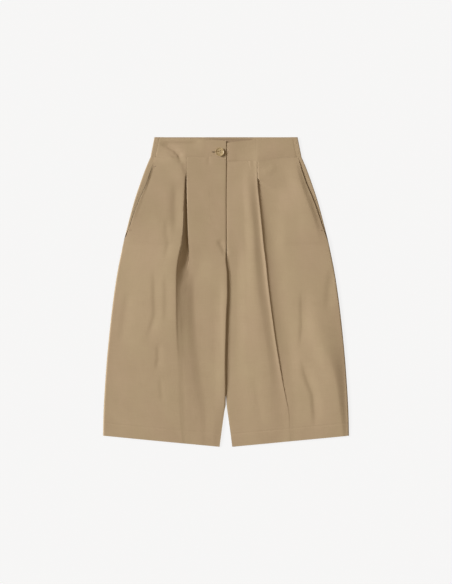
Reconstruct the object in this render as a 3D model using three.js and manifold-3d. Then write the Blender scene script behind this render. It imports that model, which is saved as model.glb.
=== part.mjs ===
// High-waisted shorts with long wide legs, laid on their back with the fronts up.
// Millimetres. X runs across the garment, Y up to the waist and Z up from the surface it lies on.
// The wearer's right side is at -X. The origin is on the surface, under the middle of the garment.
// Each piece of cloth is a closed wall, lofted through sections that cross the garment.
// "down" is a section's distance from the waist edge. "out" is a distance from the centre line
// towards the side seam, the same on both sides.

import * as THREE from 'three';
import { mergeVertices } from 'three/addons/utils/BufferGeometryUtils.js';
import Module from 'manifold-3d';

// ---------------------------------------------------------------- driving sizes
const LENGTH = 696; // waist edge to the inner corner of the hem
const BAND_HEIGHT = 45; // waist edge to the waist seam
const HEM_HEIGHT = 29; // turned-up end of each leg
const HEM_RISE = 25; // how much higher the hem ends at the side than at the inseam
const CLOTH = 1; // one layer
const BAND_CLOTH = 1.8; // folded band with its stiffener
const HEM_CLOTH = 1.8; // cloth with the turn-up behind it
const SEAM = 0.3; // gap between two pieces
const WAIST_HALF = 161; // half of the waist edge
const FLY_LAP = 9; // how far the left front runs under the right one, down to the end of the fly
const UNDERLAP = 45; // how far the left band runs under the right one
const PLEAT_OUT = { right: 88, left: 68 }; // pleat seams through the band
const BUTTON = { across: 20, thick: 3, out: 14, down: 33.5, rim: 1.4, holeOut: 2.2, hole: 1.5 };
const BUTTONHOLE = { length: 18, width: 2.6 };
const SHANK_RADIUS = 0.9;

// Half width of the garment, and the width of the back that shows in front of its folded side.
const OUTLINE = [
  { down: 45, half: 170, strip: 10 },
  { down: 67, half: 179.5, strip: 13 },
  { down: 100, half: 191.7, strip: 14 },
  { down: 143, half: 206, strip: 9.5 },
  { down: 206, half: 223, strip: 4 },
  { down: 240, half: 231.2, strip: 1 },
  { down: 320, half: 246.9, strip: 1 },
  { down: 420, half: 259.9, strip: 1 },
  { down: 540, half: 270, strip: 1 },
  { down: 660, half: 275.9, strip: 1 },
  { down: 696, half: 276.5, strip: 1 },
];

// Sections of the fronts. inner and innerZ: the edge at the centre or the inseam. shelf: the height
// that the centre part reaches. pleat: the fold's visible edge, from crest down to foot, where the
// cloth turns back by turn degrees over a straight run; 180 is a flat pleat. swell: fullness of the
// side part. shoulder: its height before it rolls down over the width roll to sideZ at its edge.
const RIGHT_FRONT = [
  { down: 45, inner: 0, innerZ: 4.8, shelf: 5, pleat: 88, crest: 6.2, foot: 2.9, turn: 180, run: 19,
    swell: 1, shoulder: 6, roll: 12, sideZ: 5.4 },
  { down: 89, inner: 0, innerZ: 4.8, shelf: 5.2, pleat: 88, crest: 6.4, foot: 2.8, turn: 180, run: 18,
    swell: 1, shoulder: 6, roll: 12, sideZ: 5.4 },
  { down: 150, inner: 0, innerZ: 5.2, shelf: 6, pleat: 89, crest: 7.4, foot: 2.8, turn: 180, run: 14,
    swell: 2, shoulder: 6.8, roll: 12, sideZ: 5.6 },
  { down: 205, inner: 0, innerZ: 5.4, shelf: 6.5, pleat: 90, crest: 8, foot: 2.9, turn: 170, run: 6,
    swell: 2, shoulder: 7, roll: 14, sideZ: 5.2 },
  { down: 242, inner: 0, innerZ: 5.2, shelf: 7, pleat: 90, crest: 8, foot: 3.2, turn: 110, run: 1,
    swell: 2, shoulder: 7, roll: 14, sideZ: 3 },
  { down: 272, inner: -2, innerZ: 5, shelf: 7.5, pleat: 87, crest: 7.6, foot: 4.2, turn: 60, run: 1,
    swell: 3, shoulder: 7, roll: 14, sideZ: 2.6 },
  { down: 332, inner: -2.4, innerZ: 6, shelf: 8.5, pleat: 84, crest: 8.2, foot: 5.4, turn: 42, run: 1,
    swell: 3, shoulder: 7.5, roll: 14, sideZ: 2.6 },
  { down: 400, inner: 0, innerZ: 6.5, shelf: 9, pleat: 80, crest: 8.8, foot: 6, turn: 36, run: 1,
    swell: 2.5, shoulder: 8, roll: 15, sideZ: 2.6 },
  { down: 515, inner: 1.5, innerZ: 6.5, shelf: 9, pleat: 73, crest: 8.8, foot: 6.8, turn: 30, run: 1,
    swell: 2, shoulder: 8, roll: 16, sideZ: 2.6 },
  { down: 600, inner: 3.5, innerZ: 5.5, shelf: 8, pleat: 60, crest: 7.6, foot: 6.4, turn: 24, run: 1,
    swell: 1.5, shoulder: 7, roll: 16, sideZ: 2.6 },
  { down: 667, inner: 11, innerZ: 3.8, shelf: 6, pleat: 50, crest: 5.8, foot: 5, turn: 20, run: 1,
    swell: 1, shoulder: 5.4, roll: 16, sideZ: 3.5 },
  { down: 696, inner: 14.5, innerZ: 3.2, shelf: 4.8, pleat: 47, crest: 4.8, foot: 4, turn: 20, run: 1,
    swell: 0.6, shoulder: 4.4, roll: 16, sideZ: 3.5 },
];
const LEFT_FRONT = [
  { down: 45, inner: -FLY_LAP, innerZ: 2.9, shelf: 3.2, pleat: 70, crest: 6.2, foot: 2.9, turn: 180,
    run: 19, swell: 1, shoulder: 6, roll: 12, sideZ: 5.4 },
  { down: 89, inner: -FLY_LAP, innerZ: 2.9, shelf: 3.4, pleat: 71, crest: 6.6, foot: 2.8, turn: 180,
    run: 18, swell: 1, shoulder: 6, roll: 12, sideZ: 5.4 },
  { down: 150, inner: -FLY_LAP, innerZ: 2.9, shelf: 3.8, pleat: 75, crest: 8, foot: 2.8, turn: 180,
    run: 15, swell: 2, shoulder: 7, roll: 14, sideZ: 5.6 },
  { down: 205, inner: -FLY_LAP, innerZ: 2.8, shelf: 4, pleat: 80, crest: 9.6, foot: 2.8, turn: 170,
    run: 11, swell: 2.5, shoulder: 7.6, roll: 18, sideZ: 5.2 },
  { down: 242, inner: 0.8, innerZ: 2.4, shelf: 5.6, pleat: 82, crest: 10.4, foot: 2.9, turn: 150,
    run: 7, swell: 3, shoulder: 8, roll: 26, sideZ: 3 },
  { down: 272, inner: 2.4, innerZ: 2, shelf: 7.6, pleat: 84.5, crest: 11, foot: 3, turn: 130, run: 4.5,
    swell: 3.5, shoulder: 9, roll: 36, sideZ: 2.6 },
  { down: 332, inner: -0.5, innerZ: 1.9, shelf: 8, pleat: 89, crest: 11.6, foot: 3.4, turn: 105,
    run: 3.5, swell: 4, shoulder: 10, roll: 50, sideZ: 2.6 },
  { down: 400, inner: -2, innerZ: 1.9, shelf: 8, pleat: 97, crest: 11.6, foot: 3.8, turn: 85, run: 3.5,
    swell: 4, shoulder: 10.5, roll: 49, sideZ: 2.6 },
  { down: 515, inner: -3.2, innerZ: 1.9, shelf: 7.6, pleat: 113, crest: 11, foot: 4.6, turn: 62, run: 3,
    swell: 4, shoulder: 10.5, roll: 33, sideZ: 2.6 },
  { down: 600, inner: 2.2, innerZ: 2.2, shelf: 7, pleat: 127, crest: 9.4, foot: 5.4, turn: 36, run: 2,
    swell: 3, shoulder: 9, roll: 25, sideZ: 2.6 },
  { down: 667, inner: 11, innerZ: 2.8, shelf: 5.6, pleat: 137, crest: 6.6, foot: 5, turn: 20, run: 2,
    swell: 1.5, shoulder: 6.4, roll: 20, sideZ: 3.5 },
  { down: 696, inner: 14.5, innerZ: 3.2, shelf: 4.8, pleat: 140, crest: 5.2, foot: 4.2, turn: 20,
    run: 1, swell: 1, shoulder: 5, roll: 18, sideZ: 3.5 },
];

// Inner edges of the backs: together down to the crotch, apart from where the legs part.
const BACK_INNER = [
  { down: 45, inner: 0.2 },
  { down: 560, inner: 0.4 },
  { down: 600, inner: 2.2 },
  { down: 667, inner: 11 },
  { down: 696, inner: 14.5 },
];

// Pocket bags: how far in they reach, from under the band to their lower end.
const POCKET = [
  { down: 62, deep: 122 },
  { down: 120, deep: 122 },
  { down: 180, deep: 123 },
  { down: 214, deep: 125 },
  { down: 240, deep: 130 },
];
const POCKET_MOUTH_END = 212; // below it the bag's outer edge leaves the side
const POCKET_TAPER = 1.5; // and moves in by this much for each millimetre down
const POCKET_Z = { back: 1.9, front: 3.5 }; // heights of the bag's two layers

// waistDip: how far the front waist edge hangs below the back one at the fly. seamDip: how far the
// waist seam hangs there below its own ends, level out to seamFrom and straight again at seamTo.
// innerRoll: width over which the front rounds up from its inner edge.
const SIDES = {
  right: { sign: -1, front: RIGHT_FRONT, waistDip: 8.3, seamDip: 6, seamFrom: 0, seamTo: 60, innerRoll: 6 },
  left: { sign: 1, front: LEFT_FRONT, waistDip: 12.8, seamDip: 9, seamFrom: 70, seamTo: 134, innerRoll: 17 },
};
const WAIST_DIP_WIDTH = 150; // how far out the waist edge hangs
const SEAM_HANG_FADE = 80; // distance below the waist seam where its hang no longer shows
const INSEAM_END = 14.5; // out of the hem's inner corner
const HEM_RISE_FROM = 380; // distance down where sections begin to slant towards the hem

const DEGREE = Math.PI / 180;
const FOLD_ROOM = 3; // how far the cloth stays level before and after it passes over a fold
const ARC_STEPS = 4;
const cloth = new THREE.MeshStandardMaterial({ color: 0xa98f6b, roughness: 0.85, metalness: 0 });
const bandCloth = new THREE.MeshStandardMaterial({ color: 0xa58b68, roughness: 0.85, metalness: 0 });
const pocketCloth = new THREE.MeshStandardMaterial({ color: 0x9c8463, roughness: 0.9, metalness: 0 });
const horn = new THREE.MeshStandardMaterial({ color: 0xbfa784, roughness: 0.35, metalness: 0 });
const thread = new THREE.MeshStandardMaterial({ color: 0xb49c78, roughness: 0.8, metalness: 0 });

const shorts = new THREE.Group();

function add(name, geometry, material) {
  const mesh = new THREE.Mesh(geometry, material);
  mesh.name = name;
  shorts.add(mesh);
}

// ---------------------------------------------------------------- reading the tables
// A column's value at any distance down, on a smooth curve that never overshoots its rows.
function read(table, column, down) {
  const last = table.length - 1;
  if (down <= table[0].down) return table[0][column];
  if (down >= table[last].down) return table[last][column];
  const i = table.findIndex((row) => row.down > down) - 1;
  const slope = (j) => (table[j + 1][column] - table[j][column]) / (table[j + 1].down - table[j].down);
  const tangent = (j) => {
    if (j === 0) return slope(0);
    if (j === last) return slope(last - 1);
    const before = slope(j - 1);
    const after = slope(j);
    return before * after <= 0 ? 0 : (2 * before * after) / (before + after);
  };
  const step = table[i + 1].down - table[i].down;
  const t = (down - table[i].down) / step;
  const start = table[i][column];
  const rise = table[i + 1][column] - start;
  const bend = tangent(i) * step - rise;
  const bendEnd = rise - tangent(i + 1) * step;
  return start + rise * t + t * (1 - t) * ((1 - t) * bend + t * bendEnd);
}

function smooth(t) {
  const held = THREE.MathUtils.clamp(t, 0, 1);
  return held * held * (3 - 2 * held);
}

// The distances down at which the wall of a front or back has a section.
function stations() {
  const list = [];
  RIGHT_FRONT.forEach((row, i) => {
    if (i > 0) list.push((RIGHT_FRONT[i - 1].down + row.down) / 2);
    list.push(row.down);
    if (row.down === LENGTH - HEM_HEIGHT) list.push(row.down + 2);
  });
  return list;
}

// ---------------------------------------------------------------- walls of cloth
// rows holds sections, each a list of points along the middle of the cloth, all of one length.
// The cloth is thick(row number) across, half of it on each side of the section, in its X-Z plane.
function wall(rows, thick) {
  const columns = rows[0].length;
  const positions = [];
  rows.forEach((row, r) => {
    const normals = row.slice(1).map((point, i) => {
      return new THREE.Vector2(row[i].z - point.z, point.x - row[i].x).normalize();
    });
    row.forEach((point, i) => {
      const before = normals[Math.max(i - 1, 0)];
      const after = normals[Math.min(i, columns - 2)];
      const normal = before.clone().add(after).normalize();
      normal.multiplyScalar(thick(r) / 2 / normal.dot(before));
      positions.push(point.x + normal.x, point.y, point.z + normal.y);
      positions.push(point.x - normal.x, point.y, point.z - normal.y);
    });
  });
  const at = (r, i, face) => 2 * (r * columns + i) + face;
  const index = [];
  const quad = (a, b, c, d) => index.push(a, b, c, a, c, d);
  for (let r = 0; r < rows.length - 1; r++) {
    for (let i = 0; i < columns - 1; i++) {
      quad(at(r, i, 0), at(r + 1, i, 0), at(r + 1, i + 1, 0), at(r, i + 1, 0));
      quad(at(r, i, 1), at(r, i + 1, 1), at(r + 1, i + 1, 1), at(r + 1, i, 1));
    }
    quad(at(r, 0, 0), at(r, 0, 1), at(r + 1, 0, 1), at(r + 1, 0, 0));
    const end = columns - 1;
    quad(at(r, end, 0), at(r + 1, end, 0), at(r + 1, end, 1), at(r, end, 1));
  }
  const bottom = rows.length - 1;
  for (let i = 0; i < columns - 1; i++) {
    quad(at(0, i, 0), at(0, i + 1, 0), at(0, i + 1, 1), at(0, i, 1));
    quad(at(bottom, i, 0), at(bottom, i, 1), at(bottom, i + 1, 1), at(bottom, i + 1, 0));
  }
  const geometry = new THREE.BufferGeometry();
  geometry.setAttribute('position', new THREE.Float32BufferAttribute(positions, 3));
  geometry.setIndex(signedVolume(positions, index) < 0 ? index.reverse() : index);
  return geometry;
}

function signedVolume(positions, index) {
  const corner = (i) => new THREE.Vector3().fromArray(positions, 3 * index[i]);
  let volume = 0;
  for (let i = 0; i < index.length; i += 3) {
    volume += corner(i).dot(corner(i + 1).cross(corner(i + 2))) / 6;
  }
  return volume;
}

// A section drawn like a pen stroke in out and z: straight on, or round an arc.
class Stroke {
  constructor(out, z) {
    this.points = [{ out, z }];
    this.heading = 0;
  }

  to(out, z) {
    this.points.push({ out, z });
  }

  run(length) {
    const { out, z } = this.points.at(-1);
    this.to(out + length * Math.cos(this.heading), z + length * Math.sin(this.heading));
  }

  // Turns by the angle, to the left where it is positive, on a circle of the radius.
  arc(radius, angle) {
    const { out, z } = this.points.at(-1);
    const turn = Math.sign(angle);
    const from = this.heading - (turn * Math.PI) / 2;
    const centre = { out: out - radius * Math.cos(from), z: z - radius * Math.sin(from) };
    for (let i = 1; i <= ARC_STEPS; i++) {
      const a = from + (angle * i) / ARC_STEPS;
      this.to(centre.out + radius * Math.cos(a), centre.z + radius * Math.sin(a));
    }
    this.heading += angle;
  }
}

// ---------------------------------------------------------------- edges that pieces share
function bandTop(side, out) {
  return side.waistDip * (1 - THREE.MathUtils.clamp(out / WAIST_DIP_WIDTH, 0, 1)) ** 1.5;
}

// The waist seam hangs lower towards the fly, most of all on the left.
function waistSeam(side, out) {
  const level = smooth((out - side.seamFrom) / (side.seamTo - side.seamFrom));
  return BAND_HEIGHT + side.seamDip * (1 - level);
}

function hemRise(out, down) {
  const hemWidth = OUTLINE.at(-1).half - INSEAM_END;
  const across = THREE.MathUtils.clamp((out - INSEAM_END) / hemWidth, 0, 1);
  return HEM_RISE * across * smooth((down - HEM_RISE_FROM) / (LENGTH - HEM_RISE_FROM));
}

// Places a section's points at its distance down, on one side of the garment.
function place(side, down, points, topHang) {
  const fade = 1 - smooth((down - BAND_HEIGHT) / SEAM_HANG_FADE);
  return points.map(({ out, z }) => {
    const hang = topHang(out) * fade;
    return new THREE.Vector3(side.sign * out, LENGTH / 2 - down - hang + hemRise(out, down), z);
  });
}

// ---------------------------------------------------------------- fronts
// From the centre: the edge's roll, the centre part, the pleat and the side part to the pocket edge.
function frontSection(side, down) {
  const at = (column) => read(side.front, column, down);
  const turn = at('turn') * DEGREE;
  const radius = (at('crest') - at('foot') - at('run') * Math.sin(turn)) / (2 * (1 - Math.cos(turn)));
  const foldStart = at('pleat') - radius * Math.sin(Math.min(turn, Math.PI / 2));
  const inner = at('inner');
  const stroke = new Stroke(inner, at('innerZ'));
  for (const t of [0.35, 1]) {
    const z = at('innerZ') + (at('shelf') - at('innerZ')) * Math.sin((t * Math.PI) / 2);
    stroke.to(inner + t * side.innerRoll, z);
  }
  const shelfStart = inner + side.innerRoll;
  const tucked = Math.max(-at('run') * Math.cos(turn), 0);
  const overFold = foldStart - tucked - FOLD_ROOM;
  for (const t of [0.3, 0.6, 0.8, 1]) {
    const z = THREE.MathUtils.lerp(at('shelf'), at('crest'), t * t);
    stroke.to(THREE.MathUtils.lerp(shelfStart, overFold, t), z);
  }
  stroke.to(foldStart, at('crest'));
  stroke.arc(radius, -turn);
  stroke.run(at('run'));
  stroke.arc(radius, turn);
  stroke.to(Math.max(stroke.points.at(-1).out + 1, at('pleat') + FOLD_ROOM), at('foot'));
  const foot = stroke.points.at(-1);
  const edge = read(OUTLINE, 'half', down) - read(OUTLINE, 'strip', down);
  const rollStart = edge - at('roll');
  for (let i = 1; i <= 6; i++) {
    const t = i / 6;
    const rise = (at('shoulder') - foot.z) * Math.sin((t * Math.PI) / 2);
    const z = foot.z + rise + at('swell') * Math.sin(Math.PI * t);
    stroke.to(foot.out + t * (rollStart - foot.out), z);
  }
  for (const t of [0.4, 0.75, 1]) {
    const z = at('sideZ') + (at('shoulder') - at('sideZ')) * Math.cos((t * Math.PI) / 2);
    stroke.to(rollStart + t * at('roll'), z);
  }
  return stroke.points;
}

function front(side) {
  const downs = stations();
  const hang = (out) => waistSeam(side, out) + SEAM - BAND_HEIGHT;
  const rows = downs.map((down) => place(side, down, frontSection(side, down), hang));
  return wall(rows, (r) => (downs[r] > LENGTH - HEM_HEIGHT ? HEM_CLOTH : CLOTH));
}

// ---------------------------------------------------------------- backs
// Flat on the surface, then folded forward over the side as far as the pocket edge. Below the
// pocket the side seam is on the fold, so the back only turns up to it.
const FOLD_ENDS = { from: 200, to: 240 }; // distances down over which the folded side runs out
const SEAM_TURN = 50; // degrees by which the back turns up to the side seam below it

function back(side) {
  const downs = stations().filter((down, i) => i % 2 === 0 || down > LENGTH - 2 * HEM_HEIGHT);
  const rows = downs.map((down) => {
    const thick = down > LENGTH - HEM_HEIGHT ? HEM_CLOTH : CLOTH;
    const foldRadius = thick / 2 + 0.4;
    const folded = 1 - smooth((down - FOLD_ENDS.from) / (FOLD_ENDS.to - FOLD_ENDS.from));
    const turn = THREE.MathUtils.lerp(SEAM_TURN, 180, folded) * DEGREE;
    const half = read(OUTLINE, 'half', down);
    const reach = thick / 2 + foldRadius * Math.sin(Math.min(turn, Math.PI / 2));
    const inner = read(BACK_INNER, 'inner', down);
    const stroke = new Stroke(inner, thick / 2);
    for (let i = 1; i <= 5; i++) {
      stroke.to(inner + (i / 5) * (half - reach - inner), thick / 2);
    }
    stroke.arc(foldRadius, turn);
    stroke.run(Math.max(read(OUTLINE, 'strip', down) - reach, 0.4));
    return place(side, down, stroke.points, () => SEAM);
  });
  return wall(rows, (r) => (downs[r] > LENGTH - HEM_HEIGHT ? HEM_CLOTH : CLOTH));
}

// ---------------------------------------------------------------- pocket bags
// One folded layer: from the mouth in along the back, round at the deep end and out again.
function pocket(side) {
  const rows = [];
  for (let i = 0; i <= 8; i++) {
    const down = THREE.MathUtils.lerp(POCKET[0].down, POCKET.at(-1).down, i / 8);
    const below = Math.max(down - POCKET_MOUTH_END, 0);
    const seam = read(OUTLINE, 'half', down) - read(OUTLINE, 'strip', down);
    const mouth = seam - 2 * SEAM - POCKET_TAPER * below;
    const deep = read(POCKET, 'deep', down);
    const stroke = new Stroke(mouth, POCKET_Z.back);
    stroke.heading = Math.PI;
    stroke.to((mouth + deep) / 2, POCKET_Z.back);
    stroke.to(deep, POCKET_Z.back);
    stroke.arc((POCKET_Z.front - POCKET_Z.back) / 2, -Math.PI);
    stroke.to((mouth + deep) / 2, POCKET_Z.front);
    stroke.to(mouth - 2, POCKET_Z.front);
    rows.push(place(side, down, stroke.points, () => 0));
  }
  return wall(rows, () => CLOTH);
}

// ---------------------------------------------------------------- waistband
const BAND_Z = 0.5 * BAND_CLOTH; // middle of the back band, lying on the surface
const BAND_FOLD = 1.05; // radius of the fold at the sides
const FRONT_BAND_Z = BAND_Z + 2 * BAND_FOLD; // middle of the front bands
const LAP_Z = FRONT_BAND_Z + BAND_CLOTH + SEAM; // middle of the band's end over the underlap
const BAND_STRIP = 11; // width of the back band that shows in front of its folded sides

function bandHalf(down) {
  return THREE.MathUtils.lerp(WAIST_HALF, OUTLINE[0].half, down / BAND_HEIGHT);
}

function backBand() {
  const rows = [0, 0.5, 1].map((t) => {
    const down = t * BAND_HEIGHT;
    const fold = bandHalf(down) - BAND_CLOTH / 2 - BAND_FOLD;
    const seam = bandHalf(down) - BAND_STRIP;
    const stroke = new Stroke(-seam, FRONT_BAND_Z);
    stroke.heading = Math.PI;
    stroke.to(-fold, FRONT_BAND_Z);
    stroke.arc(BAND_FOLD, Math.PI);
    for (let i = 1; i <= 4; i++) {
      stroke.to(THREE.MathUtils.lerp(-fold, fold, i / 4), BAND_Z);
    }
    stroke.arc(BAND_FOLD, Math.PI);
    stroke.to(seam, FRONT_BAND_Z);
    return stroke.points.map(({ out, z }) => new THREE.Vector3(out, LENGTH / 2 - down, z));
  });
  return wall(rows, () => BAND_CLOTH);
}

// A stretch of front band between two seams, each given as a function of t, 0 at its top edge.
function frontBand(side, from, to, height, columns) {
  const rows = [0, 0.5, 1].map((t) => {
    const points = [];
    for (let i = 0; i <= columns; i++) {
      const out = THREE.MathUtils.lerp(from(t), to(t), i / columns);
      const down = THREE.MathUtils.lerp(bandTop(side, out), waistSeam(side, out), t);
      points.push(new THREE.Vector3(side.sign * out, LENGTH / 2 - down, height(out)));
    }
    return points;
  });
  return wall(rows, () => BAND_CLOTH);
}

const sideSeam = (t) => bandHalf(t * BAND_HEIGHT) - BAND_STRIP - SEAM;
const onBack = () => FRONT_BAND_Z;
const LAP_SLOPE = { from: 47, to: 77 }; // out of where the right band comes down beside the underlap
const overLap = (out) => {
  const down = smooth((out - LAP_SLOPE.from) / (LAP_SLOPE.to - LAP_SLOPE.from));
  return THREE.MathUtils.lerp(LAP_Z, FRONT_BAND_Z, down);
};

// ---------------------------------------------------------------- cutting
const manifold = await Module();
manifold.setup();

function solid(geometry) {
  const bare = geometry.clone();
  bare.deleteAttribute('normal');
  bare.deleteAttribute('uv');
  const merged = mergeVertices(bare, 1e-5);
  return new manifold.Manifold(
    new manifold.Mesh({
      numProp: 3,
      vertProperties: new Float32Array(merged.attributes.position.array),
      triVerts: new Uint32Array(merged.index.array),
    }),
  );
}

function geometryOf(body) {
  const mesh = body.getMesh();
  const geometry = new THREE.BufferGeometry();
  geometry.setAttribute('position', new THREE.BufferAttribute(mesh.vertProperties, 3));
  geometry.setIndex(new THREE.BufferAttribute(mesh.triVerts, 1));
  return geometry;
}

// A rounded slot along X that goes right through the band, its inner end at the button's shank.
function buttonhole() {
  const radius = BUTTONHOLE.width / 2;
  const reach = BUTTONHOLE.length - BUTTONHOLE.width;
  const outline = new THREE.Shape();
  outline.absarc(0, 0, radius, -Math.PI / 2, Math.PI / 2);
  outline.absarc(-reach, 0, radius, Math.PI / 2, (3 * Math.PI) / 2);
  const slot = new THREE.ExtrudeGeometry(outline, { depth: 10, bevelEnabled: false, curveSegments: 6 });
  slot.translate(-BUTTON.out, LENGTH / 2 - BUTTON.down, 0);
  return slot;
}

// ---------------------------------------------------------------- button
const LAP_TOP = LAP_Z + BAND_CLOTH / 2;

function buttonGeometry() {
  const { across, thick, rim, holeOut, hole } = BUTTON;
  const radius = across / 2;
  const profile = [
    [0, 0],
    [radius - 2, 0],
    [radius, thick * 0.45],
    [radius - rim * 0.4, thick * 0.9],
    [radius - rim, thick],
    [radius - 2 * rim, thick * 0.92],
    [radius - 3 * rim, thick * 0.65],
    [0, thick * 0.6],
  ].map(([x, y]) => new THREE.Vector2(x, y));
  let disc = solid(new THREE.LatheGeometry(profile, 24).rotateX(Math.PI / 2));
  for (let i = 0; i < 4; i++) {
    const angle = Math.PI / 4 + (i * Math.PI) / 2;
    const drill = new THREE.CylinderGeometry(hole / 2, hole / 2, 3 * thick, 8).rotateX(Math.PI / 2);
    drill.translate(holeOut * Math.cos(angle), holeOut * Math.sin(angle), 0);
    disc = disc.subtract(solid(drill));
  }
  return geometryOf(disc);
}

// ---------------------------------------------------------------- the garment
for (const [name, side] of Object.entries(SIDES)) {
  add(`front_${name}`, front(side), cloth);
  add(`back_${name}`, back(side), cloth);
  add(`pocket_${name}`, pocket(side), pocketCloth);
}
add('waistband_back', backBand(), bandCloth);
const rightCentre = frontBand(SIDES.right, () => 0, () => PLEAT_OUT.right, overLap, 8);
add('waistband_right_centre', geometryOf(solid(rightCentre).subtract(solid(buttonhole()))), bandCloth);
const rightSide = frontBand(SIDES.right, () => PLEAT_OUT.right + SEAM, sideSeam, onBack, 3);
add('waistband_right_side', rightSide, bandCloth);
const leftCentre = frontBand(SIDES.left, () => -UNDERLAP, () => PLEAT_OUT.left, onBack, 6);
add('waistband_left_centre', leftCentre, bandCloth);
const leftSide = frontBand(SIDES.left, () => PLEAT_OUT.left + SEAM, sideSeam, onBack, 4);
add('waistband_left_side', leftSide, bandCloth);

const button = buttonGeometry();
button.translate(-BUTTON.out, LENGTH / 2 - BUTTON.down, LAP_TOP + SEAM);
add('button', button, horn);
const shankBottom = FRONT_BAND_Z + BAND_CLOTH / 2 + SEAM;
const shankTop = LAP_TOP;
const shank = new THREE.CylinderGeometry(SHANK_RADIUS, SHANK_RADIUS, shankTop - shankBottom, 10);
shank.rotateX(Math.PI / 2);
shank.translate(-BUTTON.out, LENGTH / 2 - BUTTON.down, (shankTop + shankBottom) / 2);
add('button_shank', shank, thread);

export default shorts;
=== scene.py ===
# High-waisted shorts with wide, knee-length legs, laid flat on their back with the fronts up.
# Lengths in this file are millimetres until a mesh is made. "down" is measured from the waist edge
# and "out" from the centre line towards a side seam. The wearer's right is at -X.
import math
import bmesh
import bpy
import numpy as np
from mathutils.bvhtree import BVHTree
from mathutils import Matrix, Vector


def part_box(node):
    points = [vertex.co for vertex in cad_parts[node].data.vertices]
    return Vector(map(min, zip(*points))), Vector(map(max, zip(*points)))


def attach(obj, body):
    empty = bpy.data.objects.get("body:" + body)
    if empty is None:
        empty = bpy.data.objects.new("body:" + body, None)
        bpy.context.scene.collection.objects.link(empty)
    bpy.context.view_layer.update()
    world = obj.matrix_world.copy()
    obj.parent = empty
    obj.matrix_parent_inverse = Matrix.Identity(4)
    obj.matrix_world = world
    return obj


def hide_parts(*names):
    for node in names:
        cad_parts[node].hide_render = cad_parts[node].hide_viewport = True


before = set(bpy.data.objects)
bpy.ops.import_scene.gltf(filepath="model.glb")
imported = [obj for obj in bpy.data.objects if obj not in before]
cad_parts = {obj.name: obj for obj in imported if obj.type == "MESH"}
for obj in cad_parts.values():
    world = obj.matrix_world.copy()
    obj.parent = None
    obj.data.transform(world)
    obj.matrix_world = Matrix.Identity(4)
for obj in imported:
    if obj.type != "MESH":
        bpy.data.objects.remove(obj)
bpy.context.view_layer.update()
bpy.ops.object.select_all(action="DESELECT")
MM = 0.001

# ------------------------------------------------------------------------------------ the backs
# Two flat panels of plain-woven cotton and linen, joined down the middle and at the inseams. Above
# the pocket mouths each one is folded forward round the side, where its edge shows as a narrow
# strip. The legs end in a hem that is turned up inside and blind-stitched.
waist_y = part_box("waistband_back")[1].y / MM
length = waist_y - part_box("back_left")[0].y / MM
BAND_HEIGHT = 45
HEM_HEIGHT = 29
HEM_RISE = 25
INSEAM_END = 14.5
CLOTH = 1.0
SEAM = 0.3
SEWN = 0.06


def table(columns, *rows):
    """Rows of numbers under named columns, the first of them the distance down."""
    return dict(zip(columns.split(), np.array(rows, float).T))


def read(rows, column, at, key="down"):
    """A column's value on a smooth curve through its rows, which doesn't overshoot them."""
    x, y = rows[key], rows[column]
    slope = np.diff(y) / np.diff(x)
    before, after = slope[:-1], slope[1:]
    both = before * after
    inner = np.where(both > 0, 2 * both / np.where(both > 0, before + after, 1), 0)
    tangent = np.concatenate([slope[:1], inner, slope[-1:]])
    at = np.clip(at, x[0], x[-1])
    i = np.clip(np.searchsorted(x, at, side="right") - 1, 0, len(x) - 2)
    step = x[i + 1] - x[i]
    t = (at - x[i]) / step
    rise = y[i + 1] - y[i]
    start_bend = tangent[i] * step - rise
    end_bend = rise - tangent[i + 1] * step
    return y[i] + rise * t + t * (1 - t) * ((1 - t) * start_bend + t * end_bend)


def smooth(t):
    t = np.clip(t, 0, 1)
    return t * t * (3 - 2 * t)


outline = table(
    "down half strip",
    (45, 170, 10),
    (67, 179.5, 13),
    (100, 191.7, 14),
    (143, 206, 9.5),
    (206, 223, 4),
    (240, 231.2, 1),
    (320, 246.9, 1),
    (420, 259.9, 1),
    (540, 270, 1),
    (660, 275.9, 1),
    (696, 276.5, 1),
)


def strip_width(side, down):
    """How far the back shows in front of its folded side, which is less on the wearer's left."""
    strip = read(outline, "strip", down)
    return strip if side < 0 else 1 + (strip - 1) * 0.84


def hem_rise(out, down):
    """How much higher a point lies because the hem slants up to the side."""
    across = np.clip((out - INSEAM_END) / (outline["half"][-1] - INSEAM_END), 0, 1)
    return HEM_RISE * across * smooth((down - 380) / (length - 380))


class Stroke:
    """A section of cloth drawn like a pen stroke, for every distance down at once."""

    def __init__(self, out, z, heading=0.0):
        self.out, self.z = [np.asarray(out, float)], [np.asarray(z, float)]
        self.heading = heading

    def to(self, out, z):
        self.out.append(out + 0 * self.out[0])
        self.z.append(z + 0 * self.out[0])

    def run(self, length, steps=1):
        out, z = self.out[-1], self.z[-1]
        for i in range(1, steps + 1):
            step = length * i / steps
            self.to(out + step * np.cos(self.heading), z + step * np.sin(self.heading))

    def arc(self, radius, angle, steps=8):
        side = np.sign(np.max(angle) + np.min(angle))
        first = self.heading - side * math.pi / 2
        out = self.out[-1] - radius * np.cos(first)
        z = self.z[-1] - radius * np.sin(first)
        for i in range(1, steps + 1):
            at = first + angle * i / steps
            self.to(out + radius * np.cos(at), z + radius * np.sin(at))
        self.heading = self.heading + angle

    def grid(self):
        return np.array(self.out).T, np.array(self.z).T


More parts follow.
